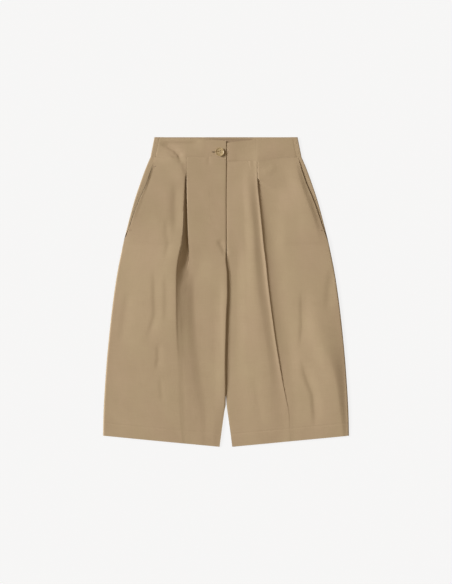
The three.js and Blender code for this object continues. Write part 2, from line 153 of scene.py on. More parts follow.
def shell(name, x, y, z, thick=CLOTH):
    """A wall of cloth on a grid of points along its middle, with its own map in metres of cloth."""
    rows, columns = x.shape
    points = np.stack([x, y, z], -1)
    across = np.linalg.norm(np.diff(points, axis=1), axis=2)
    u = np.concatenate([np.zeros((rows, 1)), np.cumsum(across, 1)], 1)
    u = u - u[:, [columns // 2]]
    along = np.linalg.norm(np.diff(points, axis=0), axis=2)
    v = np.concatenate([np.zeros((1, columns)), np.cumsum(along, 0)], 0)
    v = np.repeat(v.mean(1)[:, None], columns, 1)
    index = np.arange(rows * columns).reshape(rows, columns)
    faces = np.stack([index[:-1, :-1], index[1:, :-1], index[1:, 1:], index[:-1, 1:]], -1)
    faces = faces.reshape(-1, 4)
    mesh = bpy.data.meshes.new(name)
    mesh.from_pydata((points.reshape(-1, 3) * MM).tolist(), [], faces.tolist())
    cloth_map = mesh.uv_layers.new(name="cloth")
    uv = np.stack([u.ravel(), v.ravel()], -1)[faces.ravel()] * MM
    cloth_map.data.foreach_set("uv", uv.astype(np.float32).ravel())
    piece = bpy.data.objects.new(name, mesh)
    bpy.context.scene.collection.objects.link(piece)
    wall = piece.modifiers.new("wall", "SOLIDIFY")
    wall.thickness = thick * MM
    wall.offset = 0
    bpy.context.view_layer.objects.active = piece
    bpy.ops.object.modifier_apply(modifier="wall")
    mesh = piece.data
    mesh.polygons.foreach_set("use_smooth", np.ones(len(mesh.polygons), bool))
    solid = bmesh.new()
    solid.from_mesh(mesh)
    if solid.calc_volume(signed=True) < 0:
        bmesh.ops.reverse_faces(solid, faces=solid.faces)
    for edge in solid.edges:
        edge.smooth = edge.calc_face_angle(0) < math.radians(50)
    solid.to_mesh(mesh)
    solid.free()
    mesh.update()
    return piece


class Socket:
    """A node's output that can be added, subtracted, multiplied and divided."""

    def __init__(self, tree, socket):
        self.tree, self.socket = tree, socket

    def math(self, operation, *values):
        return self.tree.add("ShaderNodeMath", {"operation": operation}, *values)

    def __add__(self, other):
        return self.math("ADD", self, other)

    def __radd__(self, other):
        return self.math("ADD", other, self)

    def __sub__(self, other):
        return self.math("SUBTRACT", self, other)

    def __rsub__(self, other):
        return self.math("SUBTRACT", other, self)

    def __mul__(self, other):
        return self.math("MULTIPLY", self, other)

    def __rmul__(self, other):
        return self.math("MULTIPLY", other, self)

    def __truediv__(self, other):
        return self.math("DIVIDE", self, other)


class Finish:
    """A material made of nodes. add() makes a node from its type, settings and inputs."""

    def __init__(self, name):
        self.material = bpy.data.materials.new(name)
        self.material.use_nodes = True
        self.nodes = self.material.node_tree.nodes
        self.links = self.material.node_tree.links
        self.shader = self.nodes["Principled BSDF"]

    def plug(self, value, socket):
        if isinstance(value, Socket):
            self.links.new(value.socket, socket)
        elif value is not None:
            socket.default_value = value

    def add(self, kind, settings=None, *values, output=0, **named):
        node = self.nodes.new(kind)
        for key, value in (settings or {}).items():
            setattr(node, key, value)
        for value, socket in zip(values, node.inputs):
            self.plug(value, socket)
        for key, value in named.items():
            self.plug(value, node.inputs[key.replace("_", " ")])
        return Socket(self, node.outputs[output])

    def mix(self, share, first, second):
        node = self.nodes.new("ShaderNodeMix")
        node.data_type = "RGBA"
        for value, index in zip((share, first, second), (0, 6, 7)):
            self.plug(value, node.inputs[index])
        return Socket(self, node.outputs[2])

    def set(self, **inputs):
        for key, value in inputs.items():
            self.plug(value, self.shader.inputs[key.replace("_", " ")])


def plain_weave(name, light, dark, slub=1.0):
    """Cotton and linen in a plain weave: fine threads, some of them thicker, and a soft sheen."""
    finish = Finish(name)
    cloth = finish.add("ShaderNodeUVMap", {"uv_map": "cloth"})
    scaled = finish.add("ShaderNodeVectorMath", {"operation": "SCALE"}, cloth, Scale=1000.0)
    parts = finish.nodes.new("ShaderNodeSeparateXYZ")
    finish.plug(scaled, parts.inputs[0])
    u, v = Socket(finish, parts.outputs[0]), Socket(finish, parts.outputs[1])

    def noise(across, along, detail=2.0):
        place = finish.add("ShaderNodeCombineXYZ", None, u * across, v * along, 0.0)
        return finish.add(
            "ShaderNodeTexNoise", {"noise_dimensions": "2D"}, Vector=place, Scale=1.0, Detail=detail
        )

    thread = 2 * math.pi / 0.7
    warp = finish.add("ShaderNodeMath", {"operation": "SINE"}, u * thread)
    weft = finish.add("ShaderNodeMath", {"operation": "SINE"}, v * thread)
    weave = warp * weft
    weft_slub = noise(0.03, 1.1)
    warp_slub = noise(1.1, 0.02)
    slubs = weft_slub * 0.6 + warp_slub * 0.4
    cloud = noise(0.03, 0.02, 3.0)
    tone = slubs * 0.9 * slub + cloud * 0.6 + weave * 0.04 + 0.2 - 0.45 * slub
    warmth = noise(0.016, 0.009, 3.0) * 3.0 - 1.0
    lit = finish.mix(warmth, (light[0] * 0.97, light[1] * 1.01, light[2] * 0.96, 1), (*light, 1))
    colour = finish.mix(tone, (*dark, 1), lit)
    height = weave * 0.5 + slubs * 1.5
    bump = finish.add("ShaderNodeBump", None, Strength=0.25, Distance=0.00012, Height=height)
    finish.set(
        Base_Color=colour,
        Roughness=0.72 + weave * 0.06,
        Normal=bump,
        Sheen_Weight=0.25,
        Sheen_Roughness=0.45,
        Specular_IOR_Level=0.25,
    )
    return finish.material


garment_cloth = plain_weave("garment cloth", (0.448, 0.338, 0.222), (0.378, 0.284, 0.178))


def dress(piece, material, node=None):
    """Gives a finished piece its material and its place in the frame, in place of a node or not."""
    piece.data.materials.clear()
    piece.data.materials.append(material)
    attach(piece, "root")
    if node:
        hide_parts(node)


def crease(x, down, path, left, right, height, ends=0.3):
    """Height of one crease along a path, below the cloth where negative. It spreads differently to
    its left and right, and fades over a share of its length at both ends."""
    path = np.array(path, float)
    lengths = np.linalg.norm(np.diff(path, axis=0), axis=1)
    start = np.concatenate([[0], np.cumsum(lengths)])
    nearest = np.full(x.shape, 1e9)
    along, beside = np.zeros(x.shape), np.zeros(x.shape)
    for (x0, d0), (x1, d1), s, size in zip(path[:-1], path[1:], start, lengths):
        t = np.clip(((x - x0) * (x1 - x0) + (down - d0) * (d1 - d0)) / size**2, 0, 1)
        far = np.hypot(x - x0 - t * (x1 - x0), down - d0 - t * (d1 - d0))
        which = (x - x0) * (d1 - d0) - (down - d0) * (x1 - x0)
        closer = far < nearest
        along = np.where(closer, (s + t * size) / start[-1], along)
        beside = np.where(closer, which, beside)
        nearest = np.minimum(nearest, far)
    fade = smooth(along / ends) * smooth((1 - along) / ends)
    return height * fade * np.exp(-((nearest / np.where(beside > 0, right, left)) ** 2))


back_inner = table("down inner", (45, 0.2), (560, 0.4), (600, 2.2), (667, 11), (696, 14.5))
FOLD_ENDS = (200, 240)
side_fold = table(
    "down radius", (45, 1.25), (62, 1.5), (89, 1.7), (180, 1.7), (215, 1.5), (245, 0.9), (696, 0.9)
)
# Creases that each back took while the garment was folded and worn: the line of each one in out
# and down, how far it spreads, and its height.
back_creases = {
    -1: (
        ([(60, 90), (75, 200), (70, 330)], 16, 0.9),
        ([(150, 260), (165, 400), (150, 560)], 20, 1.1),
        ([(95, 420), (88, 560), (96, 680)], 14, 0.7),
        ([(20, 250), (70, 285), (120, 300)], 12, 0.8),
    ),
    1: (
        ([(72, 100), (84, 230), (80, 300)], 15, 0.8),
        ([(140, 330), (158, 470), (170, 640)], 18, 1.0),
        ([(70, 380), (64, 500), (72, 620)], 16, 0.8),
        ([(18, 262), (60, 300), (130, 318)], 12, 0.9),
    ),
}

for side, word in ((-1, "right"), (1, "left")):
    down = np.linspace(BAND_HEIGHT, length, 150)
    half = read(outline, "half", down)
    folded = 1 - smooth((down - FOLD_ENDS[0]) / (FOLD_ENDS[1] - FOLD_ENDS[0]))
    turn = np.radians(50 + 130 * folded)
    radius = read(side_fold, "radius", down)
    reach = CLOTH / 2 + radius * np.sin(np.minimum(turn, math.pi / 2))
    inner = read(back_inner, "inner", down)
    turned_up = 1.3 * smooth((down - 590) / 30)
    stroke = Stroke(inner, CLOTH / 2 + turned_up)
    for t in (0.003, 0.007, 0.012, *np.linspace(0.02, 1, 60)):
        across = t * (half - reach - inner)
        stroke.to(inner + across, CLOTH / 2 + turned_up * (1 - smooth(across / 4)))
    stroke.arc(radius, turn, 8)
    stroke.run(np.maximum(strip_width(side, down) - reach, 0.4), 5)
    out, z = stroke.grid()
    level = smooth((down - 50) / 60)[:, None] * smooth((690 - down) / 40)[:, None]
    level = level * smooth((out - inner[:, None]) / 20) * smooth((half[:, None] - out) / 60)
    for path, width, height in back_creases[side]:
        z += level * crease(out, down[:, None] + 0 * out, path, width, width, height, ends=0.25)
    below_band = down[:, None] - BAND_HEIGHT
    sewn_on = SEWN * (1 - smooth(below_band / 80))
    y = waist_y - down[:, None] - sewn_on + hem_rise(out, down[:, None])
    back = shell(f"{word}_back_cloth", side * out, y, z)
    dress(back, garment_cloth, f"back_{word}")

# ---------------------------------------------------------------------------------- pocket bags
# Each in-seam pocket is one piece of plain cotton, folded at its deep end and sewn along the
# bottom. It hangs between front and back, and only its outline shows through the front.
POCKET_Z = (1.65, 2.75)
pocket_deep = table("down deep", (62, 122), (120, 122), (180, 123), (214, 125), (240, 130))
pocket_cloth = plain_weave("pocket cotton", (0.42, 0.31, 0.195), (0.37, 0.27, 0.17), slub=0.4)
for side, word in ((-1, "right"), (1, "left")):
    down = np.linspace(62, 240, 60)
    below = np.maximum(down - 212, 0)
    mouth = read(outline, "half", down) - strip_width(side, down) - 2 * SEAM - 1.5 * below
    deep = read(pocket_deep, "deep", down)
    stroke = Stroke(mouth, POCKET_Z[0] + 0 * down, math.pi)
    for t in np.linspace(0, 1, 31)[1:]:
        stroke.to(mouth + t * (deep - mouth), POCKET_Z[0])
    stroke.arc((POCKET_Z[1] - POCKET_Z[0]) / 2, -math.pi * np.ones(len(down)), 8)
    for t in np.linspace(0, 1, 31)[1:]:
        stroke.to(deep + t * (mouth - 12 - deep), POCKET_Z[1])
    out, z = stroke.grid()
    y = waist_y - down[:, None] + 0 * out
    pocket = shell(f"{word}_pocket_bag", side * out, y, z)
    dress(pocket, pocket_cloth, f"pocket_{word}")

# ----------------------------------------------------------------------------------- the fronts
# The right front laps over the left one as far as the fly. Each has one deep pleat that opens
# outwards. It is sewn shut for 30 to 40 mm and then runs out into a soft fold down the leg. Each
# front is drawn by the lines that run down it, as (down, out, height), and by its pleat's fold.
PLEAT = "down edge crest foot turn run"
RIGHT_LINES = {
    "inner edge": (
        (45, 0, 4.9), (150, 0, 5.2), (205, 0, 5.5), (250, -0.4, 5.4), (272, -0.6, 4.6),
        (310, -3.4, 4.4), (350, -3.6, 4.4), (400, -1.4, 4.4), (515, 0.8, 4.2), (560, 0.4, 4.2),
        (600, 0.6, 3.6), (614, 3.2, 3.3), (667, 10.6, 3), (696, 14.5, 2.8),
    ),
    "brow": (
        (45, 3, 5.1), (100, 3, 5.5), (150, 3, 5.8), (205, 3, 5.9), (250, 2.6, 6.1), (272, 1.8, 6.4),
        (285, 0.8, 6.5), (310, -1.8, 6.6), (350, -2.4, 6.6), (400, 0, 6.8), (420, 0.8, 6.8),
        (515, 3, 6.8), (560, 2.8, 6.2), (600, 4.2, 4.8), (614, 7.4, 3.9), (667, 16, 3.2),
        (696, 20, 3),
    ),
    "centre": (
        (45, 30, 5.3), (150, 30, 6.1), (242, 30, 6.3), (272, 30, 6), (332, 30, 5), (400, 30, 4.9),
        (515, 28, 4.9), (600, 27, 4.4), (667, 30, 3.9), (696, 32, 3.4),
    ),
    "trough": (
        (45, 60, 5.6), (150, 62, 6.4), (205, 63, 6.6), (235, 63, 6.4), (255, 62, 5.4), (275, 62, 4),
        (290, 65, 3.3), (310, 69, 3), (345, 70, 3.5), (400, 68, 3.7), (460, 63, 4), (515, 57, 4.2),
        (560, 51, 4.2), (600, 46, 4.1), (640, 43, 4.1), (667, 44, 3.9), (696, 46, 3.5),
    ),
    "ridge": (
        (45, 78, 6), (150, 78, 6.6), (205, 78, 6.8), (235, 77, 6.5), (250, 76, 5.8), (265, 76, 4.6),
        (280, 76, 3.5), (300, 81, 3.3), (325, 85, 5), (345, 87, 6.3), (400, 88, 6.9), (460, 86, 7.2),
        (515, 81, 7), (560, 75, 6.6), (600, 67, 5.8), (640, 59, 5.1), (667, 57, 4.5), (696, 57, 3.9),
    ),
    "floor": (
        (45, 88.1, 4), (80, 88.6, 3.8), (92, 89.6, 2.2), (120, 89.6, 1.9), (205, 89, 1.8),
        (250, 90, 1.8), (268, 91.6, 1.9), (278, 92.4, 2.3), (288, 94, 3.4), (300, 96, 5.4),
        (325, 99.4, 8.2), (345, 102, 9.7), (400, 103, 10), (460, 101, 9.2), (515, 98, 8.4),
        (560, 96, 7.6), (600, 95, 6.7), (667, 92, 5), (696, 90, 4.2),
    ),
    "wall": (
        (45, 88.3, 5.7), (80, 88.8, 5.8), (92, 90.6, 3), (120, 91.8, 3), (150, 93, 3), (205, 95.6, 3),
        (235, 96.6, 3.4), (250, 98.6, 4.2), (268, 101.4, 6.4), (278, 103.4, 8.4), (288, 105, 10),
        (300, 106.6, 11.2), (325, 107.8, 11.9), (345, 108.2, 11.9), (400, 108.2, 11.3),
        (460, 105.8, 9.9), (515, 102.4, 8.8), (600, 100, 7), (667, 97, 5.2), (696, 94, 4.4),
    ),
    "lip": (
        (45, 89, 6.2), (80, 89.5, 6.5), (92, 92, 7.7), (120, 93.6, 8.8), (150, 94.8, 9.6),
        (205, 97.4, 11.8), (235, 99.4, 13.4), (250, 102.6, 14.4), (265, 106.4, 15),
        (280, 109.6, 15.2), (300, 112.4, 15), (332, 113.6, 14.4), (400, 113.2, 13), (460, 112, 11),
        (515, 109, 9.2), (600, 108, 7.4), (667, 102, 5.6), (696, 98, 4.8),
    ),
    "side": (
        (45, 130, 4.8), (89, 138, 7.6), (150, 146, 9.6), (205, 150, 10.6), (242, 158, 11.2),
        (332, 166, 11), (400, 170, 10), (515, 174, 7.8), (600, 174, 6.4), (667, 174, 5.8),
        (696, 174, 5),
    ),
    "knee": (
        (45, 154, 3.6), (62, 160, 5.8), (89, 168, 7.8), (150, 188, 9.8), (205, 208, 9), (242, 220, 6),
        (332, 236, 5), (400, 246, 4.6), (515, 257, 4.4), (600, 263, 4.2), (696, 266, 3.8),
    ),
}
RIGHT_SIDE = (
    (45, 3.1), (62, 6), (89, 9), (150, 10.8), (205, 8.8), (242, 4.8), (400, 4.4), (600, 4.2),
    (696, 3.8),
)
RIGHT_PLEAT = table(
    PLEAT,
    (45, 88, 6.2, 4, 180, 19),
    (80, 88.5, 6.4, 3.8, 180, 18),
    (92, 88.4, 6.5, 2.2, 180, 18),
    (150, 87, 6.7, 1.9, 180, 12),
    (205, 85.5, 6.8, 1.8, 170, 9),
    (235, 84, 6.4, 1.8, 155, 6.4),
    (250, 83, 5.5, 1.8, 140, 5),
    (262, 82.4, 4.5, 1.8, 120, 3),
    (272, 82.4, 3.7, 1.9, 95, 1.4),
    (282, 83.6, 3.2, 2.2, 55, 0.5),
    (293, 86, 3.4, 3.2, 15, 0.3),
    (304, 88.4, 4.2, 4.19, 0.5, 0.3),
    (325, 92, 6.2, 6.19, 0.5, 0.3),
    (345, 95, 7.9, 7.89, 0.5, 0.3),
    (400, 97, 8.4, 8.39, 0.5, 0.3),
    (460, 95, 8.2, 8.19, 0.5, 0.3),
    (515, 92, 7.9, 7.89, 0.5, 0.3),
    (560, 88, 7.4, 7.39, 0.5, 0.3),
    (600, 84, 6.5, 6.49, 0.5, 0.3),
    (667, 82, 4.9, 4.89, 0.5, 0.3),
    (696, 80, 4.1, 4.09, 0.5, 0.3),
)
LEFT_LINES = {
    "inner edge": (
        (45, -9, 2.9), (205, -9, 2.8), (242, 0.8, 2.6), (272, 2.4, 2.2), (332, -0.5, 2), (400, -2, 2),
        (515, -3.2, 2), (600, 1.2, 2.4), (614, 3, 2.6), (667, 10.4, 2.8), (696, 14, 2.8),
    ),
    "tuck": (
        (45, -2, 3.3), (150, -1.4, 3.9), (205, 0.4, 4.3), (242, 1, 4.3), (262, 1.4, 4),
        (285, 2.4, 3.6), (310, 5.6, 2.8), (350, 6.2, 2.2), (400, 4, 2.1), (515, 2, 2.1),
        (560, 2.4, 2.4), (600, 4.6, 2.9), (614, 6.4, 3), (667, 13.6, 2.9), (696, 17, 2.8),
    ),
    "brow": (
        (45, 3.6, 3.6), (89, 3.6, 4.1), (150, 4, 4.6), (205, 4.6, 4.9), (242, 5.4, 4.8), (262, 6, 4),
        (285, 8, 2.7), (310, 11.6, 2.1), (350, 13, 1.9), (400, 13, 1.8), (515, 11, 1.8),
        (560, 9, 2.3), (600, 10, 3), (667, 18, 3), (696, 22, 2.8),
    ),
    "dip": (
        (45, 20, 3.8), (150, 20, 5.1), (205, 22, 5.2), (242, 24, 4.6), (272, 24, 3.2), (310, 22, 2.1),
        (420, 22, 1.9), (515, 20, 2), (600, 24, 3.1), (667, 30, 3.2), (696, 33, 2.9),
    ),
    "centre": (
        (45, 35, 4), (150, 38, 5.8), (205, 40, 5.7), (242, 42, 5.2), (332, 44, 4.4), (400, 46, 4.3),
        (515, 50, 4.3), (600, 54, 4.6), (667, 58, 4.1), (696, 60, 3.6),
    ),
    "brink": (
        (45, 50, 4.4), (120, 52, 6.8), (150, 54, 7.6), (205, 60, 8), (242, 62, 7.8), (300, 65, 7.4),
        (340, 69, 7.2), (380, 74, 6.9), (420, 80, 6.7), (460, 87, 6.6), (500, 92, 6.5),
        (540, 96, 6.4), (600, 98, 6), (667, 98, 4.8), (696, 98, 4),
    ),
    "trough": (
        (45, 60, 5), (120, 66, 6), (150, 69.5, 6), (205, 75, 6), (242, 78, 5.6), (272, 81.5, 5.2),
        (332, 87.4, 4.9), (400, 97, 4.8), (460, 105, 4.8), (515, 113, 4.9), (560, 119, 5),
        (600, 125, 5), (667, 128, 4.2), (696, 128, 3.8),
    ),
    "hollow": (
        (45, 70.2, 4), (88, 70.8, 3.8), (98, 75, 3.2), (120, 88, 2.8), (150, 93, 2.3),
        (205, 101, 1.8), (242, 106, 1.7), (272, 110, 1.7), (332, 117, 1.7), (400, 127, 1.7),
        (460, 136, 2), (515, 142, 2.6), (560, 145, 3.6), (600, 150, 4.3), (667, 153, 4.2),
        (696, 155, 3.8),
    ),
    "rise": (
        (45, 71.1, 6.2), (88, 71.8, 6.3), (98, 84, 5.6), (120, 112, 4.2), (150, 128, 4),
        (205, 131, 3.9), (242, 134, 3.9), (272, 140, 3.7), (332, 150, 3.4), (400, 158, 3.5),
        (460, 162, 3.9), (515, 166, 4.6), (600, 168, 5), (667, 171, 4.5), (696, 172, 4),
    ),
    "side": (
        (45, 120, 4.6), (89, 130, 6.2), (150, 148, 5.8), (205, 160, 5.2), (242, 170, 4.9),
        (332, 176, 4.6), (400, 176, 4.7), (460, 184, 5.6), (515, 200, 7), (560, 214, 7.6),
        (600, 220, 7.2), (667, 222, 5.8), (696, 222, 4.8),
    ),
    "knee": (
        (45, 150, 3.6), (62, 156, 5.8), (89, 162, 8.2), (120, 172, 8.8), (150, 183, 8.8),
        (180, 194, 8), (205, 201, 6.8), (242, 208, 5.2), (300, 210, 4.9), (340, 206, 5.2),
        (360, 205, 5.6), (400, 207, 6.5), (440, 213, 8), (480, 222, 9.6), (515, 233, 10.2),
        (540, 241, 9.9), (580, 248, 8.8), (640, 255, 7.2), (667, 258.5, 6), (696, 262, 4.8),
    ),
    "hip": (
        (45, 155, 3.4), (62, 163.5, 5.4), (89, 173, 6.2), (120, 183.5, 6.2), (150, 196, 6),
        (205, 214, 5.2), (242, 227, 4.8), (300, 238, 4.8), (340, 243, 4.8), (400, 250, 4.8),
        (440, 254, 4.9), (480, 258.5, 5), (515, 262.5, 4.9), (560, 266, 4.7), (600, 268.5, 4.5),
        (667, 271, 4.1), (696, 271.6, 3.8),
    ),
}
LEFT_SIDE = (
    (45, 3.1), (62, 5.3), (89, 6), (150, 5.8), (205, 5), (242, 4.7), (400, 4.6), (600, 4.4),
    (696, 3.8),
)
LEFT_PLEAT = table(
    PLEAT,
    (45, 70, 6.2, 4, 180, 17),
    (88, 70.4, 6.4, 4, 180, 12),
    (120, 72, 6.6, 4.6, 170, 4),
    (150, 75, 6.8, 5.2, 155, 1.6),
    (205, 80.6, 7, 5.4, 140, 1.1),
    (242, 84.2, 6.8, 5.2, 130, 1),
    (272, 88.2, 6.5, 4.9, 120, 1),
    (332, 94.6, 6, 4.4, 105, 0.9),
    (400, 103.2, 5.8, 4.1, 95, 0.9),
    (460, 111.6, 5.6, 3.8, 85, 0.8),
    (515, 120.4, 5.5, 3.5, 70, 0.9),
    (560, 128, 5.4, 4, 50, 0.8),
    (600, 135.6, 5.3, 4.4, 30, 0.7),
    (630, 141, 4.9, 4.5, 14, 0.6),
    (667, 143, 4.6, 4.4, 8, 0.6),
    (696, 145, 4.1, 3.9, 6, 0.5),
)
# Creases on the fronts and their bands, as the line of each one in X and down, how far it spreads
# to the left and to the right of that line, and how high it stands or how deep it is.
CREASES = (
    ([(-152, 14), (-132, 21), (-117, 30), (-107, 40), (-102, 52), (-99, 62)], 3.5, 9, -2.1),
    ([(-146, 30), (-124, 46), (-104, 64), (-96, 84), (-95, 108)], 18, 6, 1.3),
    ([(-150, 8), (-110, 9), (-60, 10)], 3, 7, 1.1),
    ([(-112, 96), (-114, 150), (-112, 226)], 9, 13, -1.3),
    ([(-132, 175), (-134, 215), (-129, 240), (-139, 285)], 5, 9, -0.7),
    ([(-162, 285), (-159, 400), (-171, 440), (-179, 470)], 5, 13, -1.0),
    ([(-153, 460), (-152, 500), (-157, 535)], 4, 9, -0.9),
    ([(-148, 545), (-143, 610)], 4, 9, -0.6),
    ([(-135, 300), (-134, 360), (-135, 430)], 6, 12, -0.8),
    ([(-216, 330), (-226, 390), (-238, 480)], 8, 14, -0.7),
    ([(-15, 285), (-14, 420), (-11, 545)], 20, 8, -1.0),
    ([(-39, 42), (-39, 64)], 1.6, 3, -0.7),
    ([(-19, 228), (-9, 246), (2, 270)], 5, 8, -1.4),
    ([(-50, 184), (-36, 196), (-14, 206)], 2, 3, -0.5),
    ([(171, 335), (172, 430), (168, 485)], 6, 16, -1.1),
    ([(170, 495), (179, 540), (187, 565), (196, 590), (200, 640), (203, 680)], 6, 14, -1.6),
    ([(77, 80), (96, 80), (114, 60)], 7, 12, 0.7),
    ([(240, 290), (232, 340), (228, 400)], 8, 12, -0.9),
    ([(60, 520), (72, 600), (80, 660)], 6, 12, -0.6),
)
FRONTS = {
    -1: {"lines": RIGHT_LINES, "pleat": RIGHT_PLEAT, "side": RIGHT_SIDE},
    1: {"lines": LEFT_LINES, "pleat": LEFT_PLEAT, "side": LEFT_SIDE},
}
# The pocket mouths gape a little. The waist seam dips towards the fly (by how much, and from where
# to where), and a front's side edge curls under (radius and angle).
gape = table(
    "down wide", (45, 0), (58, 0.2), (75, 1.6), (110, 1.9), (190, 1.8), (225, 0.8), (245, 0), (696, 0)
)
SEAM_DIP = {-1: (6, 0, 60), 1: (9, 70, 134)}
CURL = (2.2, 78)
# Each seam lies in a groove this wide. The lines on either side of the pleat, in order, with the
# number of steps that the section takes to reach each one.
GROOVE = 1.6
INNER_LINES = {"tuck": 5, "brow": 7, "dip": 6, "centre": 14, "brink": 8, "trough": 9, "ridge": 8}
OUTER_LINES = {"floor": 5, "wall": 5, "lip": 8, "hollow": 6, "rise": 9}
OUTER_LINES |= {"side": 22, "knee": 22, "hip": 12}


def waist_seam(side, out):
    """Distance down of the waist seam, which hangs lower towards the fly."""
    dip, first, last = SEAM_DIP[side]
    return BAND_HEIGHT + dip * (1 - smooth((out - first) / (last - first)))


def waist_groove(side, out):
    """Depth of the groove along a front's waist seam, deeper where the cloth is pulled."""
    if side < 0:
        return 0.02 + 0.3 * smooth((out - 38) / 10) * (1 - smooth((out - 84) / 12))
    return 0.02 + 0.35 * (1 - smooth((out - 64) / 12)) + 0.15 * smooth((out - 125) / 20)


def join(stroke, knots, steps, share=0.0, slant=0.0, lands=False):
    """Carries a stroke on through knots of (out, height), level at each peak and each dip. A share
    of a given slant is kept where it sets off, or where it lands."""
    out = np.stack([stroke.out[-1]] + [k[0] + 0 * stroke.out[0] for k in knots], -1)
    z = np.stack([stroke.z[-1]] + [k[1] + 0 * stroke.out[0] for k in knots], -1)
    step = np.maximum(np.diff(out, axis=1), 0.05)
    slope = np.diff(z, axis=1) / step
    before, after = slope[:, :-1], slope[:, 1:]
    both = before * after
    inner = np.where(both > 0, 2 * both / np.where(both > 0, before + after, 1), 0)
    first, last = share * slant + 0 * slope[:, 0], slope[:, -1]
    if lands:
        first, last = 0 * first, share * slant + (1 - share) * last
    tangent = np.column_stack([first, inner, last])
    for i, count in enumerate(steps):
        rise = z[:, i + 1] - z[:, i]
        start = tangent[:, i] * step[:, i] - rise
        end = rise - tangent[:, i + 1] * step[:, i]
        for t in np.linspace(0, 1, count + 1)[1:]:
            height = z[:, i] + rise * t + t * (1 - t) * ((1 - t) * start + t * end)
            stroke.to(out[:, i] + t * step[:, i], height)


def front_section(side, down):
    """Out and height of a front along its sections, and how far each point takes the creases."""
    front = FRONTS[side]
    at = {key: read(front["pleat"], key, down) for key in PLEAT.split()}
    lines = {}
    for word, rows in front["lines"].items():
        line = table("down out z", *rows)
        lines[word] = (read(line, "out", down), read(line, "z", down))
    turn = np.radians(at["turn"])
    drop = at["crest"] - at["foot"]
    radius = np.maximum((drop - at["run"] * np.sin(turn)) / (2 * (1 - np.cos(turn))), 0.1)
    fold = at["edge"] - radius * np.sin(np.minimum(turn, math.pi / 2))
    stroke = Stroke(*lines["inner edge"])
    share = 1 - smooth(turn / math.radians(30))
    inner = [word for word in INNER_LINES if word in lines]
    outer = [word for word in OUTER_LINES if word in lines]
    knots = [lines[word] for word in inner] + [(fold, at["crest"])]
    steps = [INNER_LINES[word] for word in inner] + [6]
    before, after = lines[inner[-1]], lines[outer[0]]
    slant = (after[1] - before[1]) / (after[0] - before[0])
    join(stroke, knots, steps, share, slant, lands=True)
    shown = len(stroke.out)
    stroke.heading = share * np.arctan(slant)
    stroke.arc(radius, -turn, 8)
    stroke.run(at["run"], 5)
    stroke.arc(radius, turn, 8)
    tucked = len(stroke.out) - shown
    half = read(outline, "half", down)
    edge = half - strip_width(side, down) - read(gape, "wide", down) * (1 if side < 0 else 0.7)
    knots = [lines[word] for word in outer]
    side_z = read(table("down z", *front["side"]), "z", down)
    curl = np.radians(4 + (CURL[1] - 4) * smooth((down - 225) / 40))
    knots.append((edge - CURL[0] * np.sin(curl), side_z))
    falls = (lines[outer[0]][1] - at["foot"]) / (lines[outer[0]][0] - at["edge"])
    leaves = share * slant + (1 - share) * (2.3 * np.minimum(falls, 0) if side > 0 else 0)
    join(stroke, knots, [OUTER_LINES[word] for word in outer] + [6], 1.0, leaves)
    stroke.heading = 0.0
    stroke.arc(CURL[0], -curl, 6)
    out, z = stroke.grid()
    takes = np.ones(out.shape[1])
    takes[shown : shown + tucked] = np.linspace(1, 0.2, tucked)
    takes[shown + tucked :] = np.minimum(1, 0.2 + np.arange(out.shape[1] - shown - tucked) / 12)
    takes[-14:] *= np.linspace(1, 0.2, 14)
    return out, z, takes[None, :]


def creases(x, down):
    """Height of all the creases of the fronts and their bands together."""
    return sum(crease(x, down, *each) for each in CREASES)


for side, word in ((-1, "right"), (1, "left")):
    down = [np.linspace(45, 50, 8), np.linspace(52, 660, 236), np.linspace(661, 696, 26)]
    down = np.concatenate(down)
    out, z, takes = front_section(side, down)
    below_band = down[:, None] - BAND_HEIGHT
    hang = (waist_seam(side, out) + SEWN - BAND_HEIGHT) * (1 - smooth(below_band / 80))
    lies = down[:, None] + hang
    y = waist_y - lies + hem_rise(out, down[:, None])
    z = z + takes * creases(side * out, lies)
    z = z - waist_groove(side, out) * np.exp(-((below_band / GROOVE) ** 2))
    bag = smooth((out - 112) / 24) * smooth((down[:, None] - 80) / 60)
    bag = bag * (1 - smooth((down[:, None] - 234) / 9))
    z = z + 0.45 * bag * takes
    below_hem = down[:, None] - (length - HEM_HEIGHT)
    z = z - 0.35 * np.exp(-((below_hem / 1.5) ** 2)) - 0.9 * np.clip(below_hem / HEM_HEIGHT, 0, 1)
    front = shell(f"{word}_front_cloth", side * out, y, z)
    dress(front, garment_cloth, f"front_{word}")

# -------------------------------------------------------------------------------- the waistband
# A straight band of the same cloth, folded over a stiffener. The right end laps over the left one,
# and the vertical seams carry on the pleats. The inside of the back shows above the front edge.
BAND_CLOTH = 1.8
BAND_FOLD = 1.05
BAND_Z = BAND_CLOTH / 2
FRONT_BAND_Z = BAND_Z + 2 * BAND_FOLD
LAP_Z = FRONT_BAND_Z + BAND_CLOTH + SEAM
BAND_STRIP = 11
UNDERLAP = 45
WAIST_DIP = {-1: 8.3, 1: 12.8}
band_cloth = plain_weave("band cloth", (0.443, 0.333, 0.218), (0.373, 0.28, 0.175))


def band_half(down):
    """Half the width of the waistband, which widens down to the waist seam."""
    return 161 + (170 - 161) * down / BAND_HEIGHT


